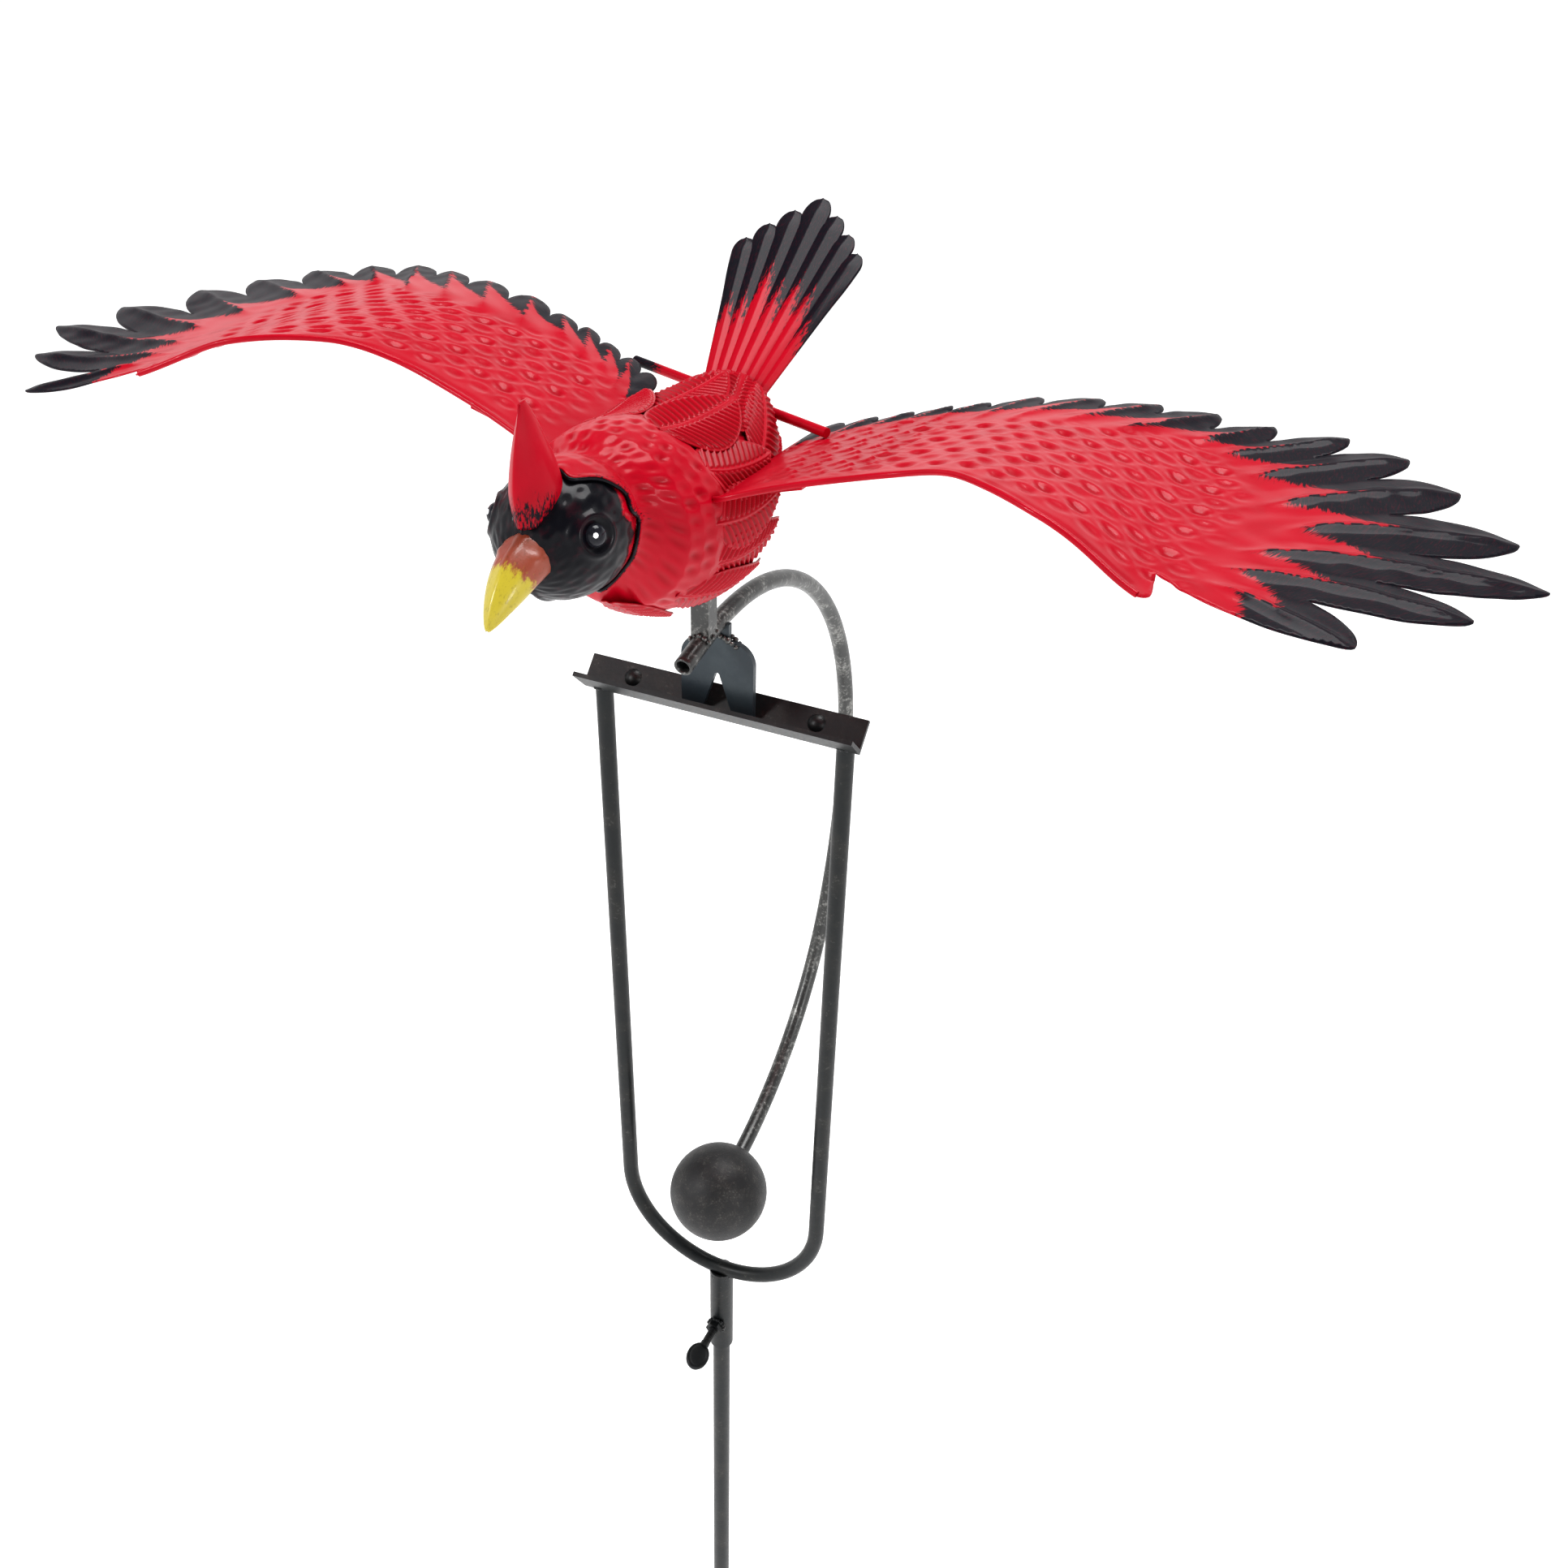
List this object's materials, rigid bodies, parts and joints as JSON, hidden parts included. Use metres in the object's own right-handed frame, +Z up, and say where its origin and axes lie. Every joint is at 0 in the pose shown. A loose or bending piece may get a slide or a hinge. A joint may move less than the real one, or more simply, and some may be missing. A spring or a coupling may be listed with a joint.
{
  "type": "rocking bird garden stake",
  "caption": "Painted sheet metal bird with spread wings that rocks on a knife edge over a garden stake, kept upright by a ball on a bent tube.",
  "frame": {"origin": "shoulder of the centre spike, on the pole's axis, at ground level", "axes": "+Z up along the pole; -Y the way the bird faces; +X towards the bird's left wing"},
  "size_m": [0.6142, 0.3247, 1.3021],
  "materials": {
    "red_paint": "gloss",
    "mask_paint": "gloss",
    "beak_paint": "satin",
    "eye_paint": "gloss",
    "stand_paint": "satin",
    "plate_paint": "satin",
    "ball_iron": "satin"
  },
  "bodies": {
    "stake": {"lower_pole": "stand_paint", "step_fork": "stand_paint"},
    "upper_pole": {"upper_pole": "stand_paint"},
    "yoke": {"socket_sleeve": "stand_paint", "sleeve_nut": "stand_paint", "yoke_frame": "stand_paint", "v_crossbar": "stand_paint", "stop_rivets": "stand_paint"},
    "thumb_screw": {"thumb_screw": "stand_paint"},
    "bird": {"pivot_plate": "plate_paint", "pendulum_arm": "stand_paint", "counterweight_ball": "ball_iron", "body_post": "stand_paint", "body_shell_left": "red_paint", "body_shell_right": "red_paint", "rump_feathers": "red_paint", "back_feathers": "red_paint", "side_feathers_left": "red_paint", "side_feathers_right": "red_paint", "belly_feathers": "red_paint", "neck_collar": "red_paint", "head_shell_left": "mask_paint", "head_shell_right": "mask_paint", "upper_beak": "beak_paint", "lower_beak": "beak_paint", "crest": "red_paint", "eyes": "eye_paint", "tail_fan": "red_paint", "wing_left": "red_paint", "wing_right": "red_paint", "wing_straps": "red_paint", "brace_rod": "red_paint"}
  },
  "joints": [
    {"name": "pole_lift", "type": "slide", "parent": "stake", "child": "upper_pole", "axis": [0, 0, 1], "range_m": [0, 0.05]},
    {"name": "yoke_swivel", "type": "hinge", "parent": "upper_pole", "child": "yoke", "pos_m": [0, 0, 0.54], "axis": [0, 0, 1], "continuous": true},
    {"name": "screw_turn", "type": "hinge", "parent": "yoke", "child": "thumb_screw", "pos_m": [0, -0.02, 0.53], "axis": [0, -1, 0], "range_deg": [0, 1080]},
    {"name": "bird_rock", "type": "hinge", "parent": "yoke", "child": "bird", "pos_m": [0, -0.0035, 0.9284], "axis": [1, 0, 0], "range_deg": [-35, 35]}
  ]
}
